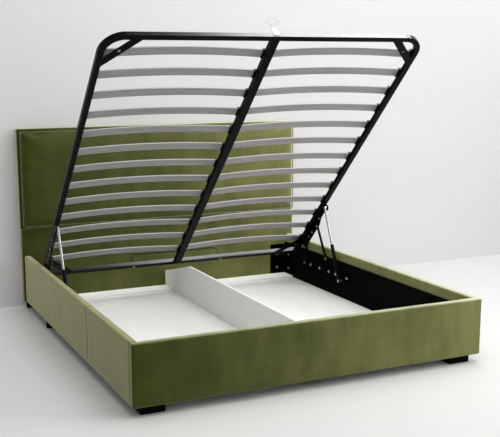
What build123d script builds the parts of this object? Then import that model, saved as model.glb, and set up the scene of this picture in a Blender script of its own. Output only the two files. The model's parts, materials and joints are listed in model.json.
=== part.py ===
from build123d import *
from math import atan2, cos, degrees, hypot, radians, sin
import os

# Upholstered bed with a gas-lift slatted frame, shown open.
# X runs across the bed, Y from the foot end to the headboard, Z up.
# All places along Y are counted from the foot rail's outer face;
# save() then moves every piece so that the origin is the middle of the floor area.
# Pieces of the lift frame are drawn level, with the underside of the frame at
# Z zero and the head end at Y zero, and are then put at the open place.

# Box and upholstery
bed_width = 1880.0
box_length = 2084.0
rail_height = 295.0
rail_thickness = 40.0
rail_edge_radius = 9.0
rail_corner_radius = 16.0
leg_height = 45.0

# Headboard
headboard_top = 1130.0
headboard_width = 1904.0
headboard_body_depth = 60.0
lower_panel_depth = 20.0
lower_panel_top = 510.0
lower_panel_radius = 6.0
pad_bottom = 516.0
pad_top_inset = 12.0
pad_side_inset = 7.0
pad_side_depth = 40.0
pad_crown_height = 12.0
pad_corner_radius = 12.0
pad_drawn_in = 3.0
pad_belly_share = 0.5
piping_radius = 4.0
piping_gap = 0.4
crown_height_shares = (0.0, 0.45, 0.8, 1.0)
crown_inset = 110.0
crown_inset_shares = (0.0, 0.02, 0.16, 1.0)

# Lining boards, floor and divider
lining_thickness = 5.0
lining_drop = 56.0
floor_thickness = 8.0
floor_gap = 0.5
floor_edge_gap = 0.5
ledge_thickness = 2.0
ledge_width = 22.0
ledge_web_height = 14.0
rear_strip_depth = 130.0
rear_strip_thickness = 10.0
rear_strip_edge_gap = 8.0
divider_thickness = 16.0
divider_height = 270.0
divider_low_height = 160.0
divider_slope_length = 423.0
beam_width = 40.0
beam_depth = 20.0
beam_wall = 1.5
beam_end_gap = 20.0
centre_foot_radius = 20.0
centre_foot_shares = (0.3, 0.68)

# Legs
leg_width = 116.5
leg_depth = 80.0
leg_side_inset = 45.3
leg_foot_inset = 34.0
leg_chamfer = 3.0
middle_leg_setback = 504.0
rear_leg_width = 32.0
rear_leg_depth = 25.0
rear_leg_side_inset = 7.5
head_leg_setback = 22.0

# Corner brackets and coach bolts
bracket_thickness = 3.0
bracket_width = 115.0
bracket_height = 207.0
bracket_corner_radius = 8.0
bracket_bolt_offset = 64.0
bracket_bolt_share_low = 0.21
bracket_bolt_share_high = 0.67
bolt_head_radius = 8.0
bolt_head_height = 4.5
bolt_head_edge_radius = 1.5
bolt_shank_radius = 4.0
bolt_gap = 0.1

# Lift frame
open_angle = 45.0
frame_length = 1987.5
frame_side_gap = 12.0
tube_width = 30.0
tube_depth = 25.0
tube_wall = 1.5
centre_tube_width = 44.0
corner_outer_radius = 120.0
gusset_thickness = 3.0
gusset_strip_width = 41.0
foot_gusset_reach = 170.0
head_gusset_reach = 160.0
gusset_hole_radius = 8.0
frame_rest_drop = 54.0

# Slats and holders
slat_count = 13
slat_head_setback = 135.0
slat_foot_setback = 143.7
slat_width = 50.0
slat_thickness = 8.0
slat_bow = 21.0
slat_end_rise = 27.0
slat_end_gap = 4.0
holder_overhang = 5.0
holder_wall = 2.0
holder_side = 3.5
holder_gap = 0.3

# Mattress retainer bow and pull strap
bow_half_width = 300.0
bow_setback = 15.0
bow_height = 90.0
bow_wire_radius = 4.0
bow_bend_radius = 30.0
bow_thread_length = 10.0
bow_hole_gap = 0.1
nut_radius = 8.5
nut_thickness = 6.0
strap_thickness = 3.0
strap_base_width = 30.0
strap_base_height = 20.0
strap_neck_width = 21.0
strap_neck_height = 52.0
strap_lean = 17.0
strap_loop_width = 69.0
strap_loop_height = 31.0
strap_band = 7.0
strap_loop_lean = 10.0

# Lift linkage: places along Y are counted from the headboard's face,
# heights down from the top of the rails
link_base_setback = 585.5
link_base_drop = 69.5
arm_base_inset = 24.0
arm_base_drop = 150.0
strut_base_inset = 88.0
strut_base_drop = 175.0
link_length = 226.7
link_open_angle = 60.07
link_frame_run = 345.4
link_frame_drop = 32.0
arm_frame_run = 157.5
arm_frame_drop = 22.0
strut_frame_run = 531.0
strut_frame_drop = 20.0
base_plate_thickness = 4.0
base_plate_length = 590.0
base_plate_height = 75.0
base_plate_setback = 282.0
base_plate_drop = 115.0
base_plate_corner_radius = 20.0
base_lobe_radius = 13.5
base_lobe_foot_width = 90.0
base_bolt_drop = 148.0
base_bolt_shares = (0.173, 0.376, 0.58, 0.725, 0.956)
link_gap = 0.5
link_thickness = 4.0
link_width = 24.0
arm_plate_thickness = 4.0
pin_radius = 4.95
pin_hole_radius = 5.0
pin_head_radius = 8.0
pin_head_height = 3.0
pin_head_gap = 0.3
stud_head_height = 2.5
stud_gap = 0.4
plate_start = 70.0
plate_deep_start = 140.0
plate_deep_end = 380.0
plate_deep = 46.0
plate_shallow_start = 430.0
plate_shallow = 24.0
plate_tab_radius = 20.0
plate_bolt_runs = (100.0, 212.0, 268.0, 408.0)
plate_bolt_drops = (12.0, 21.0, 23.0, 13.0)
plate_bolt_head_radius = 6.5
strut_gap = 0.5
cylinder_radius = 11.0
cylinder_length = 238.6
cylinder_eye_radius = 12.0
cylinder_eye_thickness = 8.0
cylinder_start = 10.0
cylinder_collar = 6.0
cylinder_crimp = 1.5
bore_gap = 0.1
bore_end = 11.2
rod_radius = 5.0
rod_overlap = 6.0
rod_eye_radius = 10.0
rod_neck_radius = 7.5
rod_neck_length = 18.0

# Rests for the closed frame on the foot rail
rest_offset = 450.0
rest_width = 50.0
rest_reach = 68.0
rest_drop_height = 45.0
rest_thickness = 3.0
rest_gap = 0.3
rest_rib_share = 0.8

cut_over = 10.0

# Places worked out from the sizes
half_width = bed_width / 2
headboard_half = headboard_width / 2
inner_half = half_width - rail_thickness
rail_top = leg_height + rail_height
floor_top = leg_height + floor_thickness
headboard_face = box_length + lower_panel_depth
bed_length = headboard_face + headboard_body_depth
lining_x = inner_half - lining_thickness
plate_x = lining_x - base_plate_thickness
link_outer_x = plate_x - link_gap
link_inner_x = link_outer_x - link_thickness
arm_plate_outer_x = link_inner_x - link_gap
arm_plate_inner_x = arm_plate_outer_x - arm_plate_thickness
strut_x = arm_plate_inner_x - strut_gap - cylinder_radius
frame_half = inner_half - frame_side_gap
tube_inner_x = frame_half - tube_width
centre_half = centre_tube_width / 2


# Linkage places in the plane of Y and Z
def polar(point, length, angle):
    a = radians(angle)
    return (point[0] + length * cos(a), point[1] + length * sin(a))


plate_head_end = box_length - base_plate_setback
plate_foot_end = plate_head_end - base_plate_length
link_base = (box_length - link_base_setback, rail_top - link_base_drop)
arm_base = (plate_head_end - arm_base_inset, rail_top - arm_base_drop)
strut_base = (plate_foot_end + strut_base_inset, rail_top - strut_base_drop)
link_joint = polar(link_base, link_length, link_open_angle)


def along_frame(origin, run, drop):
    a = radians(open_angle)
    y = origin[0] - run * cos(a) - drop * sin(a)
    z = origin[1] + run * sin(a) - drop * cos(a)
    return (y, z)


frame_origin = along_frame(link_joint, -link_frame_run, -link_frame_drop)
arm_joint = along_frame(frame_origin, arm_frame_run, arm_frame_drop)
strut_joint = along_frame(frame_origin, strut_frame_run, strut_frame_drop)
frame_place = Pos(0, frame_origin[0], frame_origin[1]) * Rot(-open_angle, 0, 0)


# Small helpers
def block(x0, x1, y0, y1, z0, z1):
    middle = Pos((x0 + x1) / 2, (y0 + y1) / 2, (z0 + z1) / 2)
    return middle * Box(x1 - x0, y1 - y0, z1 - z0)


def side_profile(sketch, x0, x1):
    return extrude(Plane.YZ.offset(x0) * sketch, amount=x1 - x0)


def polygon(points):
    return make_face(Polyline(*points, close=True))


def disc_x(point, radius, x0, x1):
    return side_profile(Pos(point[0], point[1]) * Circle(radius), x0, x1)


def left_of(shape):
    return mirror(shape, about=Plane.YZ)


def facing(origin, direction):
    return Plane(origin=origin, z_dir=direction).location


def set_on_frame(shape):
    return frame_place * shape


def save(node, shape):
    export_step(Pos(0, -bed_length / 2, 0) * shape, "parts/" + node + ".step")


# Headboard
def headboard_body():
    body = block(-headboard_half, headboard_half, headboard_face, bed_length, leg_height, headboard_top)
    uprights = body.edges().filter_by(Axis.Z)
    body = fillet(uprights, rail_edge_radius)
    return fillet(body.faces().sort_by(Axis.Z)[-1].edges(), rail_edge_radius / 2)


def headboard_lower_panel():
    panel = block(-headboard_half, headboard_half, box_length, headboard_face, leg_height, lower_panel_top)
    front = panel.faces().sort_by(Axis.Y)[0]
    edges = front.edges().filter_by(Axis.Z) + front.edges().sort_by(Axis.Z)[-1:]
    return fillet(edges, lower_panel_radius)


def pad_outline(inset, depth):
    width = headboard_width - 2 * pad_side_inset - 2 * inset
    top = headboard_top - pad_top_inset
    height = top - pad_bottom - 2 * inset
    place = Plane(
        origin=(0, headboard_face - depth, (top + pad_bottom) / 2),
        x_dir=(1, 0, 0),
        z_dir=(0, -1, 0),
    )
    return place * RectangleRounded(width, height, pad_corner_radius)


def headboard_upper_pad():
    belly = pad_side_depth * pad_belly_share
    sides = [
        pad_outline(pad_drawn_in, 0),
        pad_outline(0, belly),
        pad_outline(pad_drawn_in, pad_side_depth),
    ]
    seat = pad_drawn_in + 2 * (piping_radius + piping_gap)
    crown = []
    for height, inset in zip(crown_height_shares, crown_inset_shares):
        crown.append(pad_outline(seat + inset * crown_inset, pad_side_depth + height * pad_crown_height))
    return loft(sides, ruled=True) + loft(crown, ruled=True)


def headboard_piping():
    inset = pad_drawn_in + piping_radius + piping_gap / 2
    depth = pad_side_depth + piping_gap + piping_radius
    path = pad_outline(inset, depth).wire()
    section = Plane(origin=path @ 0, z_dir=path % 0) * Circle(piping_radius)
    return sweep(section, path=path)


# Upholstered rails
def side_rail():
    rail = block(inner_half, half_width, rail_thickness, box_length, leg_height, rail_top)
    long_edges = rail.edges().filter_by(Axis.Y)
    outer = long_edges.group_by(Axis.X)[-1]
    upper = long_edges.group_by(Axis.Z)[-1]
    chosen = list(outer) + [e for e in upper if e.center().X < half_width - rail_thickness / 2]
    return fillet(chosen, rail_edge_radius)


def foot_rail():
    rail = block(-half_width, half_width, 0, rail_thickness, leg_height, rail_top)
    rail = fillet(rail.edges().filter_by(Axis.Z).group_by(Axis.Y)[0], rail_corner_radius)
    top = rail.faces().sort_by(Axis.Z)[-1].edges()
    rail = fillet(top, rail_edge_radius)
    bottom = rail.faces().sort_by(Axis.Z)[0].edges().group_by(Axis.Y)[:-1]
    return fillet([e for group in bottom for e in group], rail_edge_radius)


# Lining, floor and divider
def side_board():
    low = leg_height - ledge_thickness + ledge_web_height
    return block(lining_x, inner_half, rail_thickness, box_length, low, rail_top - lining_drop)


def floor_panel():
    inner = divider_thickness / 2 + floor_gap
    outer = lining_x - floor_edge_gap
    y0 = rail_thickness + floor_gap
    y1 = box_length - rear_strip_depth - floor_gap
    return block(inner, outer, y0, y1, leg_height, floor_top)


def floor_rear_strip():
    reach = inner_half - rear_strip_edge_gap
    top = floor_top + rear_strip_thickness
    return block(-reach, reach, box_length - rear_strip_depth, box_length, leg_height, top)


def floor_ledge():
    low = leg_height - ledge_thickness
    web_x = inner_half - ledge_thickness
    web = block(web_x, inner_half, rail_thickness, box_length, low, low + ledge_web_height)
    flange = block(inner_half - ledge_width, web_x, rail_thickness, box_length, low, leg_height)
    return web + flange


def divider():
    half = divider_thickness / 2
    foot = rail_thickness + floor_gap
    head = box_length - floor_gap
    notch_y = box_length - rear_strip_depth - floor_gap
    notch_z = floor_top + rear_strip_thickness + floor_gap / 2
    outline = polygon([
        (foot, leg_height),
        (notch_y, leg_height),
        (notch_y, notch_z),
        (head, notch_z),
        (head, divider_low_height),
        (head - divider_slope_length, divider_height),
        (foot, divider_height),
    ])
    return side_profile(outline, -half, half)


def floor_centre_beam():
    half = beam_width / 2
    y0 = rail_thickness + beam_end_gap
    y1 = box_length - beam_end_gap
    low = leg_height - beam_depth
    beam = block(-half, half, y0, y1, low, leg_height)
    wall = beam_wall
    hollow = block(-half + wall, half - wall, y0 - cut_over, y1 + cut_over, low + wall, leg_height - wall)
    return beam - hollow


def centre_foot(share):
    height = leg_height - beam_depth
    foot = Pos(0, box_length * share, height / 2) * Cylinder(centre_foot_radius, height)
    return chamfer(foot.edges().sort_by(Axis.Z)[0], leg_chamfer)


# Legs
def leg(outer, width, y0, depth, top):
    piece = block(outer - width, outer, y0, y0 + depth, 0, top)
    return chamfer(piece.faces().sort_by(Axis.Z)[0].edges(), leg_chamfer)


def foot_leg():
    outer = half_width - leg_side_inset
    return leg(outer, leg_width, leg_foot_inset, leg_depth, leg_height - ledge_thickness)


def middle_leg():
    outer = half_width - rear_leg_side_inset
    return leg(outer, rear_leg_width, box_length - middle_leg_setback, rear_leg_depth, leg_height)


def head_leg():
    outer = half_width - rear_leg_side_inset
    return leg(outer, rear_leg_width, box_length + head_leg_setback, rear_leg_depth, leg_height)


# Bolts: the head stands on the face, the shank fills the plate's hole
def bolt(shank_length, head_radius):
    head = Pos(0, 0, bolt_head_height / 2) * Cylinder(head_radius, bolt_head_height)
    head = fillet(head.edges().sort_by(Axis.Z)[-1], bolt_head_edge_radius)
    return head + Pos(0, 0, -shank_length / 2) * Cylinder(bolt_shank_radius, shank_length)


# Corner brackets in the two head corners
def bracket_bolt_places():
    low = floor_top + rear_strip_thickness
    heights = [
        low + bracket_height * bracket_bolt_share_low,
        low + bracket_height * bracket_bolt_share_high,
    ]
    side_x = lining_x - bracket_thickness
    head_y = box_length - bracket_thickness
    places = []
    for z in heights:
        places.append(((side_x, box_length - bracket_bolt_offset, z), (-1, 0, 0)))
        places.append(((lining_x - bracket_bolt_offset, head_y, z), (0, -1, 0)))
    return places


def corner_bracket():
    low = floor_top + rear_strip_thickness
    top = low + bracket_height
    start_y = box_length - bracket_width
    start_x = lining_x - bracket_width
    side = block(lining_x - bracket_thickness, lining_x, start_y, box_length, low, top)
    head = block(start_x, lining_x, box_length - bracket_thickness, box_length, low, top)
    free_side = side.edges().filter_by(Axis.X).group_by(Axis.Y)[0]
    free_head = head.edges().filter_by(Axis.Y).group_by(Axis.X)[0]
    plate = fillet(free_side, bracket_corner_radius) + fillet(free_head, bracket_corner_radius)
    for origin, direction in bracket_bolt_places():
        hole = Cylinder(bolt_shank_radius + bolt_gap, 2 * bracket_thickness + cut_over)
        plate -= facing(origin, direction) * hole
    return plate


def corner_bolts():
    bolts = []
    for origin, direction in bracket_bolt_places():
        bolts.append(facing(origin, direction) * bolt(bracket_thickness, bolt_head_radius))
    return bolts


# Lift linkage, right side
def base_bolt_points():
    z = rail_top - base_bolt_drop
    return [(plate_head_end - base_plate_length * share, z) for share in base_bolt_shares]


def base_plate():
    top = rail_top - base_plate_drop
    middle = Pos((plate_head_end + plate_foot_end) / 2, top - base_plate_height / 2)
    outline = middle * RectangleRounded(base_plate_length, base_plate_height, base_plate_corner_radius)
    lobe_foot = base_lobe_foot_width / 2
    lobe = polygon([
        (link_base[0] - lobe_foot, top - base_plate_corner_radius),
        (link_base[0] + lobe_foot, top - base_plate_corner_radius),
        (link_base[0] + base_lobe_radius, link_base[1]),
        (link_base[0] - base_lobe_radius, link_base[1]),
    ])
    outline += lobe + Pos(link_base[0], link_base[1]) * Circle(base_lobe_radius)
    for point in (link_base, arm_base, strut_base):
        outline -= Pos(point[0], point[1]) * Circle(pin_hole_radius)
    for point in base_bolt_points():
        outline -= Pos(point[0], point[1]) * Circle(bolt_shank_radius + bolt_gap)
    return side_profile(outline, plate_x, lining_x)


def base_bolts():
    bolts = []
    for y, z in base_bolt_points():
        place = facing((plate_x, y, z), (-1, 0, 0))
        bolts.append(place * bolt(base_plate_thickness, bolt_head_radius))
    return bolts


def pivot_pin(point, head_x, collar_x):
    pin = disc_x(point, pin_radius, head_x, lining_x)
    head = disc_x(point, pin_head_radius, head_x - pin_head_height, head_x)
    collar = disc_x(point, pin_head_radius, collar_x, plate_x)
    return pin + head + collar


def base_pivot_pins():
    link_head = link_inner_x - pin_head_gap
    eye_half = cylinder_eye_thickness / 2
    strut_head = strut_x - eye_half - pin_head_gap
    return [
        pivot_pin(link_base, link_head, link_outer_x + stud_gap),
        pivot_pin(arm_base, link_head, link_outer_x + stud_gap),
        pivot_pin(strut_base, strut_head, strut_x + eye_half + pin_head_gap),
    ]


def bar(start, end):
    length = hypot(end[0] - start[0], end[1] - start[1])
    angle = degrees(atan2(end[1] - start[1], end[0] - start[0]))
    middle = Pos((start[0] + end[0]) / 2, (start[1] + end[1]) / 2) * Rot(0, 0, angle)
    return middle * SlotCenterToCenter(length, link_width)


def front_link():
    outline = bar(link_base, link_joint)
    for point in (link_base, link_joint):
        outline -= Pos(point[0], point[1]) * Circle(pin_hole_radius)
    return side_profile(outline, link_inner_x, link_outer_x)


def rear_arm():
    outline = bar(arm_base, arm_joint) - Pos(arm_base[0], arm_base[1]) * Circle(pin_hole_radius)
    arm = side_profile(outline, link_inner_x, link_outer_x)
    return arm + disc_x(arm_joint, pin_head_radius, link_outer_x, link_outer_x + stud_head_height)


def strut_direction():
    return (0, strut_joint[0] - strut_base[0], strut_joint[1] - strut_base[1])


def strut_place():
    base = (strut_x, strut_base[0], strut_base[1])
    return Plane(origin=base, x_dir=(1, 0, 0), z_dir=strut_direction()).location


def strut_length():
    direction = strut_direction()
    return hypot(direction[1], direction[2])


def round_part(radius, start, end):
    return Pos(0, 0, (start + end) / 2) * Cylinder(radius, end - start)


def strut_cylinder():
    eye = Rot(0, 90, 0) * Cylinder(cylinder_eye_radius, cylinder_eye_thickness)
    collar_start = cylinder_length - cylinder_collar
    body = round_part(cylinder_radius, cylinder_start, collar_start)
    body = fillet(body.edges().sort_by(Axis.Z)[0], cylinder_crimp)
    crimp = round_part(cylinder_radius - cylinder_crimp, collar_start, cylinder_length)
    whole = eye + body + crimp
    whole -= Rot(0, 90, 0) * Cylinder(pin_hole_radius, cylinder_eye_thickness + cut_over)
    whole -= round_part(rod_radius + bore_gap, bore_end, cylinder_length + cut_over)
    return strut_place() * whole


def strut_rod():
    length = strut_length()
    rod = round_part(rod_radius, cylinder_length - rod_overlap, length)
    neck = round_part(rod_neck_radius, length - rod_neck_length, length)
    eye = Pos(0, 0, length) * Rot(0, 90, 0) * Cylinder(rod_eye_radius, cylinder_eye_thickness)
    eye_face = cylinder_eye_thickness / 2
    stud_end = arm_plate_inner_x - stud_gap - strut_x
    stud_length = stud_end - eye_face
    stud = Cylinder(pin_radius, stud_length)
    stud = Pos(eye_face + stud_length / 2, 0, length) * Rot(0, 90, 0) * stud
    return strut_place() * (rod + neck + eye + stud)


# Lift frame
def hollow_tube(x0, x1, y0, y1, axis):
    outer = block(x0, x1, y0, y1, 0, tube_depth)
    w = tube_wall
    if axis == "X":
        return outer - block(x0 - cut_over, x1 + cut_over, y0 + w, y1 - w, w, tube_depth - w)
    return outer - block(x0 + w, x1 - w, y0 - cut_over, y1 + cut_over, w, tube_depth - w)


def side_tube():
    end = -(frame_length - corner_outer_radius)
    return set_on_frame(hollow_tube(tube_inner_x, frame_half, end, 0, "Y"))


def corner_bend():
    centre = Pos(frame_half - corner_outer_radius, -(frame_length - corner_outer_radius))
    outer = corner_outer_radius
    inner = corner_outer_radius - tube_width
    quarter = Pos(outer / 2, -outer / 2) * Rectangle(outer, outer)
    solid = extrude((Circle(outer) - Circle(inner)) & quarter, amount=tube_depth)
    wall = tube_wall
    reach = outer + cut_over
    room = Pos(reach / 2 - cut_over, -reach / 2 + cut_over) * Rectangle(reach, reach)
    ring = (Circle(outer - wall) - Circle(inner + wall)) & room
    hollow = Pos(0, 0, wall) * extrude(ring, amount=tube_depth - 2 * wall)
    return set_on_frame(centre * (solid - hollow))


def foot_tube():
    reach = frame_half - corner_outer_radius
    return set_on_frame(hollow_tube(-reach, reach, -frame_length, tube_width - frame_length, "X"))


def head_tube():
    tube = hollow_tube(-tube_inner_x, tube_inner_x, -tube_width, 0, "X")
    for x in (-bow_half_width, bow_half_width):
        hole = Cylinder(bow_wire_radius + bow_hole_gap, 2 * tube_depth + cut_over)
        tube -= Pos(x, -bow_setback, tube_depth / 2) * hole
    return set_on_frame(tube)


def centre_tube():
    end = tube_width - frame_length
    return set_on_frame(hollow_tube(-centre_half, centre_half, end, -tube_width, "Y"))


def gusset(corner_y, direction, reach):
    near = reach - gusset_strip_width * hypot(1, 1)
    strip = polygon([
        (tube_inner_x, corner_y + direction * reach),
        (tube_inner_x, corner_y + direction * near),
        (tube_inner_x - near, corner_y),
        (tube_inner_x - reach, corner_y),
    ])
    middle = (reach + near) / 4
    strip -= Pos(tube_inner_x - middle, corner_y + direction * middle) * Circle(gusset_hole_radius)
    return extrude(strip, amount=gusset_thickness)


def foot_gusset():
    return set_on_frame(gusset(tube_width - frame_length, 1, foot_gusset_reach))


def head_gusset():
    return set_on_frame(gusset(-tube_width, -1, head_gusset_reach))


def slat_band(x0, x1, low, high):
    middle = (x0 + x1) / 2
    lower = ThreePointArc((x0, low), (middle, low + slat_bow), (x1, low))
    upper = ThreePointArc((x1, high), (middle, high + slat_bow), (x0, high))
    ends = [Line((x1, low), (x1, high)), Line((x0, high), (x0, low))]
    return make_face([lower, ends[0], upper, ends[1]])


def across_frame(sketch, middle_y, width):
    plane = Plane(origin=(0, middle_y + width / 2, 0), x_dir=(1, 0, 0), z_dir=(0, -1, 0))
    return extrude(plane * sketch, amount=width)


def slat(middle_y):
    band = slat_band(slat_end_gap, frame_half - slat_end_gap, slat_end_rise, slat_end_rise + slat_thickness)
    return across_frame(band, middle_y, slat_width)


def holder(x0, x1, middle_y):
    high = slat_end_rise + slat_thickness + holder_wall
    shell = slat_band(0, frame_half, -slat_bow, high)
    height = high - tube_depth + slat_bow
    window = Pos((x0 + x1) / 2, tube_depth + height / 2) * Rectangle(x1 - x0, height)
    pocket = slat_band(
        slat_end_gap - holder_gap,
        frame_half - slat_end_gap + holder_gap,
        slat_end_rise - holder_gap,
        slat_end_rise + slat_thickness + holder_gap,
    )
    body = across_frame(shell & window, middle_y, slat_width + 2 * holder_side)
    return body - across_frame(pocket, middle_y, slat_width + 2 * holder_gap)


def centre_holder(middle_y):
    half = holder(0, centre_half + holder_overhang, middle_y)
    return half + left_of(half)


def slat_rows():
    run = frame_length - slat_head_setback - slat_foot_setback
    return [-(slat_head_setback + run * i / (slat_count - 1)) for i in range(slat_count)]


def row_copies(make):
    first = make(0)
    return [set_on_frame(Pos(0, y, 0) * first) for y in slat_rows()]


def slats():
    return row_copies(slat)


def side_holders():
    return row_copies(lambda y: holder(tube_inner_x - holder_overhang, frame_half, y))


def centre_holders():
    return row_copies(centre_holder)


def arm_plate():
    outline = polygon([
        (-plate_start, 0),
        (-plate_deep_start, -plate_deep),
        (-plate_deep_end, -plate_deep),
        (-plate_shallow_start, -plate_shallow),
        (-strut_frame_run, -plate_shallow),
        (-strut_frame_run, 0),
    ])
    tab = Pos(-strut_frame_run, -strut_frame_drop) * Circle(plate_tab_radius)
    below = Pos(-strut_frame_run, -plate_deep) * Rectangle(2 * plate_deep, 2 * plate_deep)
    outline += tab & below
    outline -= Pos(-link_frame_run, -link_frame_drop) * Circle(pin_hole_radius)
    for run, drop in zip(plate_bolt_runs, plate_bolt_drops):
        outline -= Pos(-run, -drop) * Circle(bolt_shank_radius + bolt_gap)
    plate = side_profile(outline, arm_plate_inner_x, arm_plate_outer_x)
    boss_start = arm_plate_inner_x - stud_head_height
    plate += disc_x((-arm_frame_run, -arm_frame_drop), pin_head_radius, boss_start, arm_plate_inner_x)
    return set_on_frame(plate)


def plate_bolts():
    bolts = []
    for run, drop in zip(plate_bolt_runs, plate_bolt_drops):
        place = facing((arm_plate_inner_x, -run, -drop), (-1, 0, 0))
        bolts.append(set_on_frame(place * bolt(arm_plate_thickness, plate_bolt_head_radius)))
    return bolts


def link_pin():
    inner_face = arm_plate_inner_x
    outer_face = link_outer_x + pin_head_gap
    pin = disc_x(link_joint, pin_radius, inner_face, outer_face)
    inner = disc_x(link_joint, pin_head_radius, inner_face - stud_head_height, inner_face)
    outer = disc_x(link_joint, pin_head_radius, outer_face, outer_face + stud_head_height)
    return pin + inner + outer


def retainer_bow():
    low = -bow_thread_length
    path = FilletPolyline(
        (-bow_half_width, -bow_setback, low),
        (-bow_half_width, -bow_setback, bow_height),
        (bow_half_width, -bow_setback, bow_height),
        (bow_half_width, -bow_setback, low),
        radius=bow_bend_radius,
    )
    section = Plane(origin=path @ 0, z_dir=path % 0) * Circle(bow_wire_radius)
    return set_on_frame(sweep(section, path=path))


def retainer_nuts():
    nuts = []
    for x in (-bow_half_width, bow_half_width):
        outline = RegularPolygon(nut_radius, 6) - Circle(bow_wire_radius + bow_hole_gap)
        nut = extrude(outline, amount=nut_thickness)
        nuts.append(set_on_frame(Pos(x, -bow_setback, -nut_thickness) * nut))
    return nuts


def pull_strap():
    half = strap_base_width / 2
    neck = strap_neck_width / 2
    loop_middle = strap_neck_height + strap_loop_height / 2 - strap_band / 2
    outline = polygon([
        (-half, 0),
        (half, 0),
        (neck - strap_lean / 2, strap_neck_height / 2),
        (neck - strap_lean, strap_neck_height),
        (-neck - strap_lean, strap_neck_height),
        (-neck - strap_lean / 2, strap_neck_height / 2),
    ])
    loop_place = Pos(-strap_lean - strap_loop_lean, loop_middle)
    outer = SlotOverall(strap_loop_width, strap_loop_height)
    inner = SlotOverall(strap_loop_width - 2 * strap_band, strap_loop_height - 2 * strap_band)
    outline += loop_place * (outer - inner)
    rise = Plane(
        origin=(0, -frame_length, tube_depth),
        x_dir=(1, 0, 0),
        z_dir=(0, -sin(radians(open_angle)), -cos(radians(open_angle))),
    )
    flat = extrude(rise * outline, amount=strap_thickness)
    low = tube_depth - strap_base_height
    base = block(-half, half, -frame_length - strap_thickness, -frame_length, low, tube_depth)
    return set_on_frame(flat + base)


# Small angles on the foot rail where the closed frame comes to rest
def rest_bracket():
    top = rail_top - frame_rest_drop - rest_gap
    y0 = rail_thickness
    t = rest_thickness
    x0 = rest_offset - rest_width / 2
    x1 = rest_offset + rest_width / 2
    shelf = block(x0, x1, y0, y0 + rest_reach, top - t, top)
    back = block(x0, x1, y0, y0 + t, top - rest_drop_height, top - t)
    reach = rest_reach * rest_rib_share
    fall = rest_drop_height * rest_rib_share
    rib = polygon([(y0 + t, top - t), (y0 + reach, top - t), (y0 + t, top - fall)])
    return shelf + back + side_profile(rib, rest_offset - t / 2, rest_offset + t / 2)


def pair(node, shape):
    save(node + "_right", shape)
    save(node + "_left", left_of(shape))


def both_sides(shapes):
    return Compound(children=list(shapes) + [left_of(s) for s in shapes])


def main():
    os.makedirs("parts", exist_ok=True)
    save("headboard_body", headboard_body())
    save("headboard_lower_panel", headboard_lower_panel())
    save("headboard_upper_pad", headboard_upper_pad())
    save("headboard_piping", headboard_piping())
    save("foot_rail", foot_rail())
    pair("side_rail", side_rail())
    pair("side_board", side_board())
    pair("floor_panel", floor_panel())
    save("floor_rear_strip", floor_rear_strip())
    pair("floor_ledge", floor_ledge())
    save("divider", divider())
    save("floor_centre_beam", floor_centre_beam())
    save("centre_feet", Compound(children=[centre_foot(share) for share in centre_foot_shares]))
    pair("foot_leg", foot_leg())
    pair("middle_leg", middle_leg())
    pair("head_leg", head_leg())
    pair("corner_bracket", corner_bracket())
    pair("base_plate", base_plate())
    save("coach_bolts", both_sides(corner_bolts() + base_bolts()))
    save("base_pivot_pins", both_sides(base_pivot_pins()))
    save("rest_brackets", both_sides([rest_bracket()]))
    pair("front_link", front_link())
    pair("rear_arm", rear_arm())
    pair("strut_cylinder", strut_cylinder())
    pair("strut_rod", strut_rod())
    pair("side_tube", side_tube())
    pair("corner_bend", corner_bend())
    save("foot_tube", foot_tube())
    save("head_tube", head_tube())
    save("centre_tube", centre_tube())
    save("foot_gussets", both_sides([foot_gusset()]))
    save("head_gussets", both_sides([head_gusset()]))
    right_slats = Compound(children=slats())
    pair("slats", right_slats)
    pair("slat_holders_side", Compound(children=side_holders()))
    save("slat_holders_centre", Compound(children=centre_holders()))
    pair("arm_plate", arm_plate())
    save("plate_bolts", both_sides(plate_bolts()))
    save("link_pins", both_sides([link_pin()]))
    save("retainer_bow", retainer_bow())
    save("retainer_nuts", Compound(children=retainer_nuts()))
    save("pull_strap", pull_strap())


main()
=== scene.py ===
import bpy
import bmesh
import json
from math import cos, pi, radians, sin
from mathutils import Matrix, Vector, noise


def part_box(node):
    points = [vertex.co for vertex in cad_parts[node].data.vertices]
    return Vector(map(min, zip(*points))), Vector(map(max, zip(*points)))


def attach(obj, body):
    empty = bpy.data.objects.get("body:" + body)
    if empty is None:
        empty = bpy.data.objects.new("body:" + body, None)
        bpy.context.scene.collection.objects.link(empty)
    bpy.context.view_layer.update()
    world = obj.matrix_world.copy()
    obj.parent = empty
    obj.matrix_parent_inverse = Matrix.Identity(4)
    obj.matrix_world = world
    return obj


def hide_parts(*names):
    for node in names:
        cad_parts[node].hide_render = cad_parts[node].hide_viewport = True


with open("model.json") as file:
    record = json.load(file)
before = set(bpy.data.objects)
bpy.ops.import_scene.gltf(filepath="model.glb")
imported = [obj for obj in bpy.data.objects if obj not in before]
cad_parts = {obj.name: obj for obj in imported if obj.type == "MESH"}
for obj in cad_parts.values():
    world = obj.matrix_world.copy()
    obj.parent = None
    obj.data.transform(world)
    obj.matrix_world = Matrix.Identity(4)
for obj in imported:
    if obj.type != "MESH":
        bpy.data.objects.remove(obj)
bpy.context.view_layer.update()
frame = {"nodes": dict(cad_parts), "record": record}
bodies_of = frame["record"]["behaviour"]["bodies"]
body_of_node = {node: body for body, nodes in bodies_of.items() for node in nodes}
slot_of_node = {s["node"]: s["material_slot"] for s in frame["record"]["subparts"]}
SIDES = (("left", -1), ("right", 1))

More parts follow.
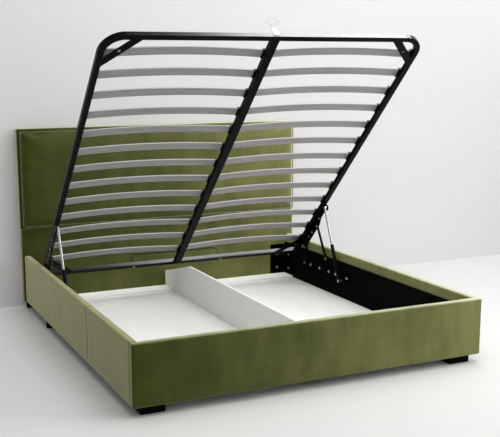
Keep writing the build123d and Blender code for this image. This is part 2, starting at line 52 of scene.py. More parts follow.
# Sizes in metres and places in the shared frame: x across the bed, y toward the wall
BED_HALF = 0.940
RAIL_THICKNESS = 0.040
RAIL_LOW = 0.045
RAIL_TOP = 0.340
RAIL_OVERLAP = 0.012
FOOT_Y = -1.082
HEAD_Y = FOOT_Y + 2.084
WALL_Y = FOOT_Y + 2.170
SIDE_SEAM_Y = FOOT_Y + 0.694
PANEL_DEPTH = 0.020
PANEL_COVER_DEPTH = 0.0205

# Lift frame. In its own places x runs across, y toward the head from the head tube's
# outer face and z up from the tubes' underside. LIFT_PLACE sets them in the open pose
OPEN_ANGLE = radians(45)
LIFT_PLACE = (Matrix.Translation((0, 0.7964722, 0.2453590))
              @ Matrix.Rotation(-OPEN_ANGLE, 4, "X"))
FRAME_LENGTH = 1.9875
FRAME_HALF = 0.888
TUBE_WIDTH = 0.030
TUBE_DEPTH = 0.025
CENTRE_TUBE_HALF = 0.022
CORNER_REACH = 0.120

# The dressed slats and side holders end short of the solids, inside the side tubes' edge
SLAT_INNER_END = 0.004
SLAT_OUTER_END = 0.872
HOLDER_DRAWN_FROM = 0.866
HOLDER_END = 0.876

# Struts at rest: the low pin's place on the right, the direction from there to the top
# pin, and the dressed radii, which are wider than the solids'
STRUT_LOW_PIN = (0.8705, 0.218, 0.165)
STRUT_ALONG = Vector((0, 0.393146, 0.919476))
DRESSED_BORE_RADIUS = 0.0073
DRESSED_ROD_RADIUS = 0.0070


# Materials
def new_material(name):
    mat = bpy.data.materials.new(name)
    mat.use_nodes = True
    tree = mat.node_tree
    return mat, tree, tree.nodes["Principled BSDF"]


def add_node(tree, kind, **values):
    node = tree.nodes.new(kind)
    for key, value in values.items():
        setattr(node, key, value)
    return node


def set_inputs(node, values):
    for name, value in values.items():
        node.inputs[name].default_value = value


def object_pattern(tree, scale, stretch=(1, 1, 1), detail=3.0, fineness=0.55):
    """Noise in the object's own places."""
    coord = tree.nodes.new("ShaderNodeTexCoord")
    mapping = tree.nodes.new("ShaderNodeMapping")
    set_inputs(mapping, {"Scale": stretch})
    grain = tree.nodes.new("ShaderNodeTexNoise")
    set_inputs(grain, {"Scale": scale, "Detail": detail, "Roughness": fineness})
    tree.links.new(coord.outputs["Object"], mapping.inputs["Vector"])
    tree.links.new(mapping.outputs["Vector"], grain.inputs["Vector"])
    return grain.outputs["Fac"]


def colour_between(tree, share, low, high, ends=(0.3, 0.7)):
    ramp = tree.nodes.new("ShaderNodeValToRGB")
    for element, position, colour in zip(ramp.color_ramp.elements, ends, (low, high)):
        element.position = position
        element.color = (*colour, 1)
    tree.links.new(share, ramp.inputs["Fac"])
    return ramp.outputs["Color"]


def rough_between(tree, shader, share, low, high):
    spread = tree.nodes.new("ShaderNodeMapRange")
    set_inputs(spread, {"From Min": 0.3, "From Max": 0.7, "To Min": low, "To Max": high})
    tree.links.new(share, spread.inputs["Value"])
    tree.links.new(spread.outputs["Result"], shader.inputs["Roughness"])


def add_bump(tree, shader, height, strength, distance, under=None):
    bump = tree.nodes.new("ShaderNodeBump")
    set_inputs(bump, {"Strength": strength, "Distance": distance})
    tree.links.new(height, bump.inputs["Height"])
    if under:
        tree.links.new(under, bump.inputs["Normal"])
    tree.links.new(bump.outputs["Normal"], shader.inputs["Normal"])
    return bump.outputs["Normal"]


def paler_along(tree, colour, output, axis, ends, least, more):
    """Multiplies a colour by least at one end of a coordinate, by least + more at the other."""
    coord = tree.nodes.new("ShaderNodeTexCoord")
    parts = tree.nodes.new("ShaderNodeSeparateXYZ")
    tree.links.new(coord.outputs[output], parts.inputs[0])
    share = tree.nodes.new("ShaderNodeMapRange")
    set_inputs(share, {"From Min": ends[0], "From Max": ends[1]})
    tree.links.new(parts.outputs[axis], share.inputs["Value"])
    gain = add_node(tree, "ShaderNodeVectorMath", operation="MULTIPLY_ADD")
    tree.links.new(share.outputs["Result"], gain.inputs[0])
    gain.inputs[1].default_value = more
    gain.inputs[2].default_value = least
    paler = add_node(tree, "ShaderNodeVectorMath", operation="MULTIPLY")
    tree.links.new(colour, paler.inputs[0])
    tree.links.new(gain.outputs[0], paler.inputs[1])
    return paler.outputs[0]


def olive_velvet():
    """Short pile: broad brushed clouds of tone, fine pile in the bump and a pale sheen."""
    mat, tree, shader = new_material("olive_velvet")
    brushed = object_pattern(tree, 2.6, stretch=(1, 1, 1.6), detail=5.0, fineness=0.62)
    streaks = object_pattern(tree, 11.0, stretch=(1, 1, 0.28), detail=4.0, fineness=0.6)
    both = add_node(tree, "ShaderNodeMix", data_type="FLOAT")
    both.inputs[0].default_value = 0.45
    tree.links.new(brushed, both.inputs[2])
    tree.links.new(streaks, both.inputs[3])
    tone = colour_between(tree, both.outputs[0], (0.050, 0.0555, 0.0115),
                          (0.089, 0.0965, 0.0212), (0.36, 0.64))
    # Painted light, fitted: the colour grows paler toward the bed's right, a painted stand-in
    # for light and sheen falling from that side. Fitted to the photograph, where the cloth is
    # paler toward the right. Whether that is the pile's lean or the photograph's light isn't
    # known
    painted_right_light = paler_along(tree, tone, "Object", 0, (-0.95, 0.95),
                         (0.58, 0.60, 0.46), (1.48, 1.42, 2.75))
    # Painted highlight, fitted in the same way: faces that look upward are made paler,
    # standing in for the light from above
    painted_top_light = paler_along(tree, painted_right_light, "Normal", 2, (0.3, 1.0), (1, 1, 1), (1.60, 1.55, 4.3))
    tree.links.new(painted_top_light, shader.inputs["Base Color"])
    nap = object_pattern(tree, 38.0, detail=4.0)
    soft = add_bump(tree, shader, nap, 0.16, 0.004)
    pile = object_pattern(tree, 900.0, detail=2.0)
    add_bump(tree, shader, pile, 0.22, 0.0006, soft)
    set_inputs(shader, {"Roughness": 0.8, "Specular IOR Level": 0.04, "Sheen Weight": 1.0,
                        "Sheen Roughness": 0.38, "Sheen Tint": (1.0, 1.0, 0.63, 1)})
    return mat


def grained(name, scale, low, high, roughness, shine=0.5, metal=0.0, bump=None, peel=None,
            **grain_form):
    """A finish whose tone follows one grain, and its roughness too where it is a range.

    bump raises the grain itself and peel a finer one, each by (strength, distance)."""
    mat, tree, shader = new_material(name)
    grain = object_pattern(tree, scale, **grain_form)
    tree.links.new(colour_between(tree, grain, low, high), shader.inputs["Base Color"])
    if isinstance(roughness, tuple):
        rough_between(tree, shader, grain, *roughness)
    else:
        shader.inputs["Roughness"].default_value = roughness
    if bump:
        add_bump(tree, shader, grain, *bump)
    if peel:
        add_bump(tree, shader, object_pattern(tree, 500.0, detail=2.0), *peel)
    set_inputs(shader, {"Specular IOR Level": shine, "Metallic": metal})
    return mat


def grey(value):
    return (value, value, value)


def black_steel(name, shine, roughness):
    return grained(name, 60.0, grey(0.0007), grey(0.0014), roughness, shine=shine,
                   peel=(0.02, 0.0001), detail=4.0)


def moulded_black(name):
    return grained(name, 300.0, grey(0.0014), grey(0.0028), 0.55, shine=0.03,
                   bump=(0.15, 0.0002))


def white_webbing():
    mat, tree, shader = new_material("white_webbing")
    coord = tree.nodes.new("ShaderNodeTexCoord")
    ribs = tree.nodes.new("ShaderNodeTexWave")
    set_inputs(ribs, {"Scale": 180.0, "Distortion": 0.4})
    tree.links.new(coord.outputs["Object"], ribs.inputs["Vector"])
    tone = colour_between(tree, ribs.outputs["Fac"], (0.70, 0.70, 0.69), (0.80, 0.80, 0.79))
    tree.links.new(tone, shader.inputs["Base Color"])
    add_bump(tree, shader, ribs.outputs["Fac"], 0.3, 0.0004)
    set_inputs(shader, {"Roughness": 0.9, "Specular IOR Level": 0.05})
    return mat


finish_of_slot = {
    "velvet": olive_velvet(),
    "black_board": grained("black_lining", 45.0, grey(0.0008), grey(0.0015), (0.7, 0.85),
                           shine=0.03, detail=5.0),
    "white_board": grained("white_laminate", 14.0, (0.860, 0.850, 0.825),
                           (0.905, 0.895, 0.870), (0.42, 0.55), shine=0.06,
                           peel=(0.06, 0.0003), stretch=(1, 0.25, 1), detail=5.0),
    "black_steel": black_steel("satin_black_steel", 0.05, (0.27, 0.31)),
    "cylinder_steel": grained("dark_cylinder_paint", 90.0, grey(0.002), grey(0.0035),
                              (0.30, 0.40), shine=0.06),
    "leg_plastic": moulded_black("moulded_leg"),
    "zinc": grained("zinc_plate", 220.0, (0.50, 0.50, 0.49), (0.68, 0.68, 0.67),
                    (0.24, 0.38), metal=0.95, detail=4.0),
    "rod_chrome": grained("polished_rod", 150.0, grey(0.43), grey(0.47), (0.26, 0.30),
                          metal=0.8),
    "slat_wood": grained("grey_slat", 9.0, (0.255, 0.247, 0.245), (0.335, 0.325, 0.322),
                         (0.42, 0.58), shine=0.05, bump=(0.10, 0.0005),
                         stretch=(0.35, 6, 6), detail=6.0, fineness=0.65),
    "holder_plastic": moulded_black("moulded_holder"),
    "strap_webbing": white_webbing(),
}
dull_plate = black_steel("dull_black_plate", 0.012, (0.52, 0.62))


def dress_cad_nodes():
    for node, obj in frame["nodes"].items():
        obj.data.materials.clear()
        obj.data.materials.append(finish_of_slot[slot_of_node[node]])


# Piece helpers
def new_object(name, data):
    made = bpy.data.objects.new(name, data)
    bpy.context.scene.collection.objects.link(made)
    return made


def add_piece(name, mesh, body, slot, *nodes):
    piece = new_object(name, mesh)
    if not mesh.materials:
        mesh.materials.append(finish_of_slot[slot])
    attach(piece, body)
    if nodes:
        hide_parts(*nodes)
    return piece


def smooth_shading(mesh, angle=40):
    for polygon in mesh.polygons:
        polygon.use_smooth = True
    mesh.set_sharp_from_angle(angle=radians(angle))


def mesh_from(work, name):
    mesh = bpy.data.meshes.new(name)
    work.to_mesh(mesh)
    work.free()
    return mesh


def shown_mesh(obj):
    """A plain mesh of an object as its modifiers leave it."""
    graph = bpy.context.evaluated_depsgraph_get()
    return bpy.data.meshes.new_from_object(obj.evaluated_get(graph))


def broken_edges(piece, width, segments, angle=35):
    bevel = piece.modifiers.new("broken_edges", "BEVEL")
    bevel.width = width
    bevel.segments = segments
    bevel.limit_method = "ANGLE"
    bevel.angle_limit = radians(angle)
    bevel.use_clamp_overlap = True


def rounded_copy(node, width, segments=2, reshape=None, finish=None):
    """A copy of a hard-edged node with its edges broken, as paint and pressing leave them."""
    work = bmesh.new()
    work.from_mesh(frame["nodes"][node].data)
    bmesh.ops.remove_doubles(work, verts=work.verts, dist=1e-5)
    if reshape:
        reshape(work)
    bmesh.ops.dissolve_limit(work, angle_limit=radians(1), verts=work.verts, edges=work.edges)
    mesh = mesh_from(work, node + "_rounded")
    mesh.materials.clear()
    mesh.materials.append(finish or finish_of_slot[slot_of_node[node]])
    smooth_shading(mesh)
    piece = add_piece(node + "_rounded", mesh, body_of_node[node], slot_of_node[node], node)
    broken_edges(piece, width, segments)


def wider_round(sign, found, radius, start, end_gap):
    """Gives a strut's round surfaces, found by two radii they lie between, a new radius.

    It begins at the run start from the low pin and leaves end_gap at the top."""
    base = Vector((sign * STRUT_LOW_PIN[0], *STRUT_LOW_PIN[1:]))

    def reshape(work):
        runs = [(v.co - base).dot(STRUT_ALONG) for v in work.verts]
        end = max(runs) - end_gap
        for vert, run in zip(work.verts, runs):
            out = vert.co - base - STRUT_ALONG * run
            if found[0] < out.length < found[1] and start < run < end:
                vert.co += out * (radius / out.length - 1)
    return reshape


def drawn_in(work):
    """Draws the outer part of a row of side holders in, so that it ends at HOLDER_END."""
    reach = max(abs(v.co.x) for v in work.verts)
    share = (HOLDER_END - HOLDER_DRAWN_FROM) / (reach - HOLDER_DRAWN_FROM)
    for vert in work.verts:
        past = abs(vert.co.x) - HOLDER_DRAWN_FROM
        if past > 0:
            vert.co.x = (HOLDER_DRAWN_FROM + past * share) * (1 if vert.co.x > 0 else -1)


# Upholstered boards: a lattice over the board's faces, rounded at its edges,
# with the slight swell that padding gives and a groove at each seam
EDGE_SHARES = (0, 0.3, 0.65, 1)
SEAM_HALF = 0.005
SEAM_FLOOR_HALF = 0.002
SEAM_CLEARANCE = 0.006
SEAM_DEPTH = 0.0016
BROAD_RIPPLE, BROAD_SHARE = 5.5, 0.65
FINE_RIPPLE, FINE_SHARE = 17.0, 0.35


def lattice_steps(low, high, radius, cell, seams=()):
    steps = {low + radius * share for share in EDGE_SHARES}
    steps |= {high - radius * share for share in EDGE_SHARES}
    inner = high - low - 2 * radius
    count = max(1, round(inner / cell))
    steps |= {low + radius + inner * i / count for i in range(1, count)}
    for seam in seams:
        steps = {s for s in steps if abs(s - seam) > SEAM_CLEARANCE}
        for gap in (SEAM_HALF, SEAM_FLOOR_HALF, 0):
            steps |= {seam - gap, seam + gap}
    return sorted(steps)


def lattice_box(*steps):
    """A closed box of four-sided faces, from the lattice's places along x, y and z."""
    work = bmesh.new()
    corners = {}

    def corner(place):
        if place not in corners:
            corners[place] = work.verts.new([steps[a][place[a]] for a in range(3)])
        return corners[place]

    for flat in (2, 1, 0):
        first, second = [axis for axis in range(3) if axis != flat]
        for i in range(len(steps[first]) - 1):
            for j in range(len(steps[second]) - 1):
                for end in (0, len(steps[flat]) - 1):
                    face = []
                    for di, dj in ((0, 0), (1, 0), (1, 1), (0, 1)):
                        place = [end] * 3
                        place[first], place[second] = i + di, j + dj
                        face.append(corner(tuple(place)))
                    turned = (end == 0) != (flat == 1)
                    work.faces.new(face[::-1] if turned else face)
    return work


def core_point(point, low, high, radius):
    """The nearest point of the box that is left when its edges' radii are taken off."""
    return Vector([min(max(point[a], low[a] + radius[a]), high[a] - radius[a])
                   for a in range(3)])


def upholstered_board(name, low, high, radius, swell, node, seams=(), cell=0.022, seed=0.0):
    """radius holds one value for each axis; seams are (axis number, place along it)."""
    steps = []
    for axis in range(3):
        places = [place for number, place in seams if number == axis]
        steps.append(lattice_steps(low[axis], high[axis], radius[axis], cell, places))
    work = lattice_box(*steps)
    for vert in work.verts:
        p = vert.co.copy()
        core = core_point(p, low, high, radius)
        out = Vector([(p[a] - core[a]) / radius[a] for a in range(3)])
        out.normalize()
        spot = core + Vector([out[a] * radius[a] for a in range(3)])
        away = 1.0
        for axis, place in seams:
            away = min(away, abs(p[axis] - place) / SEAM_HALF)
        ripple = noise.noise(spot * BROAD_RIPPLE + Vector((seed, 0, 0))) * BROAD_SHARE
        ripple += noise.noise(spot * FINE_RIPPLE + Vector((0, seed, 0))) * FINE_SHARE
        lift = swell * ripple - SEAM_DEPTH * (1 - away) ** 2
        vert.co = spot + out * lift
    mesh = mesh_from(work, name)
    smooth_shading(mesh, 70)
    add_piece(name, mesh, "base", "velvet", node)


# Headboard pad: foam under velvet. Left alone, the cloth would swell by up to 0.1 m in
# PAD_FRAMES, so PAD_MOST_MOVE cuts the move of about half its points, and the crown over
# the front comes from a formula. The voxel mesh makes the front border 8 mm smaller
PAD_DEPTH = 0.040
PAD_DRAWN_IN = 0.003
PAD_EDGE_RADIUS = 0.007
PAD_CELL = 0.02
PAD_VOXEL = 0.0125
PAD_PRESSURE = 4.0
PAD_FRAMES = 20
PAD_HELD_DEPTH = 0.006
PAD_MOST_MOVE = 0.006
PAD_CROWN = 0.015
PAD_CROWN_START = 0.010
PAD_CROWN_REACH = 0.14
PAD_CROWN_POWER = 2.6
PAD_RIPPLE = 0.0012
PAD_BACK_SNAP = 0.001


def pad_shell(low, high):
    radius = (PAD_EDGE_RADIUS,) * 3
    steps = [lattice_steps(low[a], high[a], radius[a], PAD_CELL) for a in range(3)]
    work = lattice_box(*steps)
    for vert in work.verts:
        core = core_point(vert.co, low, high, radius)
        out = vert.co - core
        out.normalize()
        vert.co = core + out * PAD_EDGE_RADIUS
    return mesh_from(work, "headboard_pad")


def blow_up(piece, hold_behind):
    """Cloth pressure; points behind hold_behind stay, others move PAD_MOST_MOVE at most."""
    remesh = piece.modifiers.new("even_mesh", "REMESH")
    remesh.mode = "VOXEL"
    remesh.voxel_size = PAD_VOXEL
    even = shown_mesh(piece)
    piece.modifiers.clear()
    old = piece.data
    piece.data = even
    bpy.data.meshes.remove(old)
    start = [v.co.copy() for v in even.vertices]
    held = piece.vertex_groups.new(name="held")
    held.add([v.index for v in even.vertices if v.co.y > hold_behind], 1.0, "REPLACE")
    cloth = piece.modifiers.new("swell", "CLOTH")
    cloth.settings.use_pressure = True
    cloth.settings.uniform_pressure_force = PAD_PRESSURE
    cloth.settings.vertex_group_mass = "held"
    cloth.settings.effector_weights.gravity = 0.0
    cloth.settings.quality = 5
    cloth.point_cache.frame_start = 1
    cloth.point_cache.frame_end = PAD_FRAMES
    for number in range(1, PAD_FRAMES + 1):
        bpy.context.scene.frame_set(number)
    blown = shown_mesh(piece)
    piece.modifiers.clear()
    piece.vertex_groups.clear()
    piece.data = blown
    bpy.data.meshes.remove(even)
    for vert, first in zip(blown.vertices, start):
        move = vert.co - first
        if move.length > PAD_MOST_MOVE:
            vert.co = first + move.normalized() * PAD_MOST_MOVE
    bpy.context.scene.frame_set(1)


def headboard_pad():
    low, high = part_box("headboard_upper_pad")
    back = high.y
    front_corner = Vector((low.x + PAD_DRAWN_IN, back - PAD_DEPTH, low.z + PAD_DRAWN_IN))
    shell = pad_shell(front_corner, high - Vector((PAD_DRAWN_IN, 0, PAD_DRAWN_IN)))
    piece = new_object("headboard_pad", shell)
    blow_up(piece, back - PAD_HELD_DEPTH)
    mesh = piece.data
    for vert in mesh.vertices:
        p = vert.co
        if p.y > back - PAD_BACK_SNAP:
            p.y = back
        inward = min(p.x - low.x, high.x - p.x, high.z - p.z, p.z - low.z)
        crown = min(1.0, max(0.0, (inward - PAD_CROWN_START) / PAD_CROWN_REACH))
        if p.y < back - PAD_DEPTH / 2:
            p.y -= PAD_CROWN * (1 - (1 - crown) ** PAD_CROWN_POWER)
            p.y += PAD_RIPPLE * noise.noise(Vector((p.x * 4.0, 0, p.z * 6.0)))
    mesh.materials.clear()
    mesh.materials.append(finish_of_slot["velvet"])
    smooth_shading(mesh, 80)
    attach(piece, "base")
    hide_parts("headboard_upper_pad")
    smooth = piece.modifiers.new("smooth", "SUBSURF")
    smooth.levels = 1
    smooth.render_levels = 1
    return piece


# Node-built repeats
def new_tree(name, inputs):
    tree = bpy.data.node_groups.new(name, "GeometryNodeTree")
    tree.interface.new_socket(name="Geometry", in_out="OUTPUT",
                              socket_type="NodeSocketGeometry")
    keys = {}
    for label, kind, value in inputs:
        socket = tree.interface.new_socket(name=label, in_out="INPUT", socket_type=kind)
        if value is not None:
            socket.default_value = value
        keys[label] = socket.identifier
    return tree, keys


def plain_mesh(name, tree, keys, values, path=None):
    """Runs a node tree, on a path where one is given, and hands back a plain mesh."""
    holder = new_object(name + "_maker", path or bpy.data.meshes.new(name + "_maker"))
    modifier = holder.modifiers.new("maker", "NODES")
    modifier.node_group = tree
    for label, value in values.items():
        modifier[keys[label]] = value
    mesh = shown_mesh(holder)
    holder.modifiers.clear()
    bpy.data.objects.remove(holder)
    mesh.name = name
    return mesh


def fill_inputs(tree, node, values):
    """Sets a node's inputs in their order, each to a number or to another node's output."""
    for number, value in enumerate(values):
        if isinstance(value, (int, float)):
            node.inputs[number].default_value = value
        else:
            tree.links.new(value, node.inputs[number])
    return node.outputs[0]


def maths(tree, operation, first, second):
    node = add_node(tree, "ShaderNodeMath", operation=operation)
    return fill_inputs(tree, node, (first, second))


def triple(tree, *values):
    return fill_inputs(tree, tree.nodes.new("ShaderNodeCombineXYZ"), values)


def end_tree(tree, instances, material):
    """Makes plain geometry of the instances, with a finish, and puts it out."""
    solid = tree.nodes.new("GeometryNodeRealizeInstances")
    tree.links.new(instances, solid.inputs["Geometry"])
    finish = tree.nodes.new("GeometryNodeSetMaterial")
    tree.links.new(solid.outputs["Geometry"], finish.inputs["Geometry"])
    tree.links.new(material, finish.inputs["Material"])
    output = tree.nodes.new("NodeGroupOutput")
    tree.links.new(finish.outputs["Geometry"], output.inputs["Geometry"])


def slat_row_tree():
    """Bowed slats, one after another along the frame, then set at the frame's open angle."""
    tree, keys = new_tree("slat_row", [
        ("Inner End", "NodeSocketFloat", SLAT_INNER_END),
        ("Outer End", "NodeSocketFloat", SLAT_OUTER_END),
        ("Width", "NodeSocketFloat", 0.050),
        ("Thickness", "NodeSocketFloat", 0.008),
        ("Bow", "NodeSocketFloat", 0.021),
        ("Rise", "NodeSocketFloat", 0.027),
        ("First", "NodeSocketFloat", 0.135),
        ("Pitch", "NodeSocketFloat", 0.1424),
        ("Count", "NodeSocketInt", 13),
        ("Angle", "NodeSocketFloat", -OPEN_ANGLE),
        ("Wood", "NodeSocketMaterial", None),
    ])
    links = tree.links
    given = tree.nodes.new("NodeGroupInput").outputs
    span = maths(tree, "SUBTRACT", given["Outer End"], given["Inner End"])
    both_ends = maths(tree, "ADD", given["Outer End"], given["Inner End"])
    middle = maths(tree, "MULTIPLY", both_ends, 0.5)
    blank = tree.nodes.new("GeometryNodeMeshCube")
    blank.inputs["Vertices X"].default_value = 33
    links.new(triple(tree, span, given["Width"], given["Thickness"]), blank.inputs["Size"])
    parts = tree.nodes.new("ShaderNodeSeparateXYZ")
    links.new(tree.nodes.new("GeometryNodeInputPosition").outputs[0], parts.inputs[0])
    share = maths(tree, "DIVIDE", parts.outputs[0], maths(tree, "MULTIPLY", span, 0.5))
    fall = maths(tree, "MULTIPLY", maths(tree, "MULTIPLY", share, share), given["Bow"])
    bowed = maths(tree, "SUBTRACT", given["Bow"], fall)
    bend = tree.nodes.new("GeometryNodeSetPosition")
    links.new(blank.outputs["Mesh"], bend.inputs["Geometry"])
    links.new(triple(tree, 0, 0, bowed), bend.inputs["Offset"])
    half_thick = maths(tree, "MULTIPLY", given["Thickness"], 0.5)
    height = maths(tree, "ADD", given["Rise"], half_thick)
    first = maths(tree, "MULTIPLY", given["First"], -1.0)
    pitch = maths(tree, "MULTIPLY", given["Pitch"], -1.0)
    line = tree.nodes.new("GeometryNodeMeshLine")
    links.new(given["Count"], line.inputs["Count"])
    links.new(triple(tree, middle, first, height), line.inputs["Start Location"])
    links.new(triple(tree, 0, pitch, 0), line.inputs["Offset"])
    copies = tree.nodes.new("GeometryNodeInstanceOnPoints")
    links.new(line.outputs["Mesh"], copies.inputs["Points"])
    links.new(bend.outputs["Geometry"], copies.inputs["Instance"])
    raised = tree.nodes.new("GeometryNodeTransform")
    links.new(copies.outputs["Instances"], raised.inputs["Geometry"])
    links.new(triple(tree, given["Angle"], 0, 0), raised.inputs["Rotation"])
    raised.inputs["Translation"].default_value = LIFT_PLACE.translation
    end_tree(tree, raised.outputs["Geometry"], given["Wood"])
    return tree, keys


def lay_slats():
    tree, keys = slat_row_tree()
    for side, sign in SIDES:
        ends = sorted((sign * SLAT_INNER_END, sign * SLAT_OUTER_END))
        values = {"Inner End": ends[0], "Outer End": ends[1],
                  "Wood": finish_of_slot["slat_wood"]}
        mesh = plain_mesh("slat_row_" + side, tree, keys, values)
        smooth_shading(mesh)
        piece = add_piece("slat_row_" + side, mesh, "lift_frame", "slat_wood", "slats_" + side)
        broken_edges(piece, 0.0012, 2, 50)


def bead_tree():
    """Small beads set one after another along a path, and turned with it."""
    tree, keys = new_tree("beads_on_path", [
        ("Path", "NodeSocketGeometry", None),
        ("Spacing", "NodeSocketFloat", 0.008),
        ("Length", "NodeSocketFloat", 0.005),
        ("Width", "NodeSocketFloat", 0.001),
        ("Height", "NodeSocketFloat", 0.001),
        ("Finish", "NodeSocketMaterial", None),
    ])
    links = tree.links
    given = tree.nodes.new("NodeGroupInput").outputs
    path = tree.nodes.new("GeometryNodeMeshToCurve")
    links.new(given["Path"], path.inputs["Mesh"])
    even = tree.nodes.new("GeometryNodeResampleCurve")
    even.mode = "LENGTH"
    links.new(path.outputs["Curve"], even.inputs["Curve"])
    links.new(given["Spacing"], even.inputs["Length"])
    bead = tree.nodes.new("GeometryNodeMeshUVSphere")
    set_inputs(bead, {"Segments": 8, "Rings": 5, "Radius": 0.5})
    turn = add_node(tree, "FunctionNodeAlignRotationToVector", axis="X")
    tangent = tree.nodes.new("GeometryNodeInputTangent")
    links.new(tangent.outputs[0], turn.inputs["Vector"])
    size = triple(tree, given["Length"], given["Width"], given["Height"])
    copies = tree.nodes.new("GeometryNodeInstanceOnPoints")
    links.new(even.outputs["Curve"], copies.inputs["Points"])
    links.new(bead.outputs["Mesh"], copies.inputs["Instance"])
    links.new(turn.outputs["Rotation"], copies.inputs["Rotation"])
    links.new(size, copies.inputs["Scale"])
    end_tree(tree, copies.outputs["Instances"], given["Finish"])
    return tree, keys


def path_mesh(name, lines):
    """lines holds (points, closed) pairs."""
    verts, edges = [], []
    for points, closed in lines:
        first = len(verts)
        verts += [tuple(p) for p in points]
        edges += [(first + i, first + i + 1) for i in range(len(points) - 1)]
        if closed:
            edges.append((len(verts) - 1, first))
    mesh = bpy.data.meshes.new(name)
    mesh.from_pydata(verts, edges, [])
    return mesh


def beads_along(name, lines, spacing, size, body, slot):
    tree, keys = bead_tree()
    values = {"Spacing": spacing, "Length": size[0], "Width": size[1], "Height": size[2],
              "Finish": finish_of_slot[slot]}
    mesh = plain_mesh(name, tree, keys, values, path_mesh(name + "_path", lines))
    smooth_shading(mesh, 80)
    add_piece(name, mesh, body, slot)


# Piping round the pad's border, with its row of stitches on the pad
PIPING_CORNER_RADIUS = 0.014
PIPING_STEP = 0.010
PIPING_FACETS = 10
PIPING_RIPPLE = 0.05
PIPING_PUCKER = 0.04
STITCH_INSET = 0.0095
STITCH_CORNER_RADIUS = 0.010
STITCH_PITCH = 0.008
STITCH_SIZE = (0.0050, 0.0007, 0.0005)
STITCH_PROUD = 0.0002
CORNER_STEPS = 8


def border_path(half_width, low_z, high_z, y, radius, step):
    corners = []
    for turn, (sx, cz) in enumerate(((1, high_z - radius), (-1, high_z - radius),
                                     (-1, low_z + radius), (1, low_z + radius))):
        middle = Vector((sx * (half_width - radius), y, cz))
        for k in range(CORNER_STEPS + 1):
            a = pi / 2 * (turn + k / CORNER_STEPS)
            corners.append(middle + Vector((cos(a), 0, sin(a))) * radius)
    points = []
    for here, ahead in zip(corners, corners[1:] + corners[:1]):
        count = max(1, round((ahead - here).length / step))
        points += [here.lerp(ahead, i / count) for i in range(count)]
    return points


def join_rings(work, rings, closed):
    """Faces between neighbouring rings of points, and between the last and the first."""
    aheads = rings[1:] + rings[:1] if closed else rings[1:]
    for here, ahead in zip(rings, aheads):
        for k in range(len(here)):
            after = (k + 1) % len(here)
            work.faces.new((here[k], here[after], ahead[after], ahead[k]))


def pad_piping():
    """Follows the solid's border, so it stands clear of the simulated pad's smaller one."""
    low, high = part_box("headboard_piping")
    radius = (high.y - low.y) / 2
    points = border_path(high.x - radius, low.z + radius, high.z - radius,
                         (low.y + high.y) / 2, PIPING_CORNER_RADIUS, PIPING_STEP)
    work = bmesh.new()
    rings = []
    for i, p in enumerate(points):
        along = (points[(i + 1) % len(points)] - points[i - 1]).normalized()
        outward = along.cross(Vector((0, 1, 0)))
        pucker = 1 + PIPING_RIPPLE * noise.noise(p * 60) - PIPING_PUCKER * (i % 2)
        ring = []
        for k in range(PIPING_FACETS):
            a = 2 * pi * k / PIPING_FACETS
            way = outward * cos(a) + Vector((0, sin(a), 0))
            ring.append(work.verts.new(p + way * radius * pucker))
        rings.append(ring)
    join_rings(work, rings, closed=True)
    bmesh.ops.recalc_face_normals(work, faces=work.faces)
    mesh = mesh_from(work, "pad_piping")
    smooth_shading(mesh, 80)
    add_piece("pad_piping", mesh, "base", "velvet", "headboard_piping")


def pad_stitches(pad):
    low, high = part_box("headboard_piping")
    points = border_path(high.x - STITCH_INSET, low.z + STITCH_INSET, high.z - STITCH_INSET,
                         0, STITCH_CORNER_RADIUS, STITCH_PITCH)
    shown = pad.evaluated_get(bpy.context.evaluated_depsgraph_get())
    laid = []
    for p in points:
        hit, place, *_ = shown.ray_cast(Vector((p.x, low.y - 0.2, p.z)), Vector((0, 1, 0)))
        if hit:
            laid.append(place - Vector((0, STITCH_PROUD, 0)))
    beads_along("pad_stitches", [(laid, True)], STITCH_PITCH, STITCH_SIZE, "base", "velvet")


# Weld seams of the lift frame, in the frame's own places
WELD_RISE = 0.023
WELD_PITCH = 0.0022
WELD_SIZE = (0.0030, 0.0040, 0.0022)


def frame_welds():
    lines = []

    def seam(*points):
        lines.append(([LIFT_PLACE @ Vector(p) for p in points], False))

    def seam_round(x, y, last_x, last_y):
        """Down one side of a tube, across its underside and up the other side."""
        seam((x, y, WELD_RISE), (x, y, 0), (last_x, last_y, 0), (last_x, last_y, WELD_RISE))

    head_inner = -TUBE_WIDTH
    foot_inner = TUBE_WIDTH - FRAME_LENGTH
    for y in (head_inner, foot_inner):
        seam_round(-CENTRE_TUBE_HALF, y, CENTRE_TUBE_HALF, y)
    for sign in (-1, 1):
        x = sign * (FRAME_HALF - TUBE_WIDTH)
        # Side tube on the head tube
        seam((x, -0.001, 0), (x, -0.029, 0), (x, head_inner, WELD_RISE))
        # Ends of the foot gusset and of the head gusset
        seam((x, foot_inner + 0.110, 0), (x, foot_inner + 0.168, 0))
        seam((x - sign * 0.112, foot_inner, 0), (x - sign * 0.168, foot_inner, 0))
        seam((x, -0.132, 0), (x, -0.188, 0))
        seam((x - sign * 0.102, head_inner, 0), (x - sign * 0.158, head_inner, 0))
        # Both ends of the corner bend
        bend_y = CORNER_REACH - FRAME_LENGTH
        seam_round(x, bend_y, sign * FRAME_HALF, bend_y)
        bend_x = sign * (FRAME_HALF - CORNER_REACH)
        seam_round(bend_x, -FRAME_LENGTH + TUBE_WIDTH, bend_x, -FRAME_LENGTH)
    beads_along("frame_welds", lines, WELD_PITCH, WELD_SIZE, "lift_frame", "black_steel")


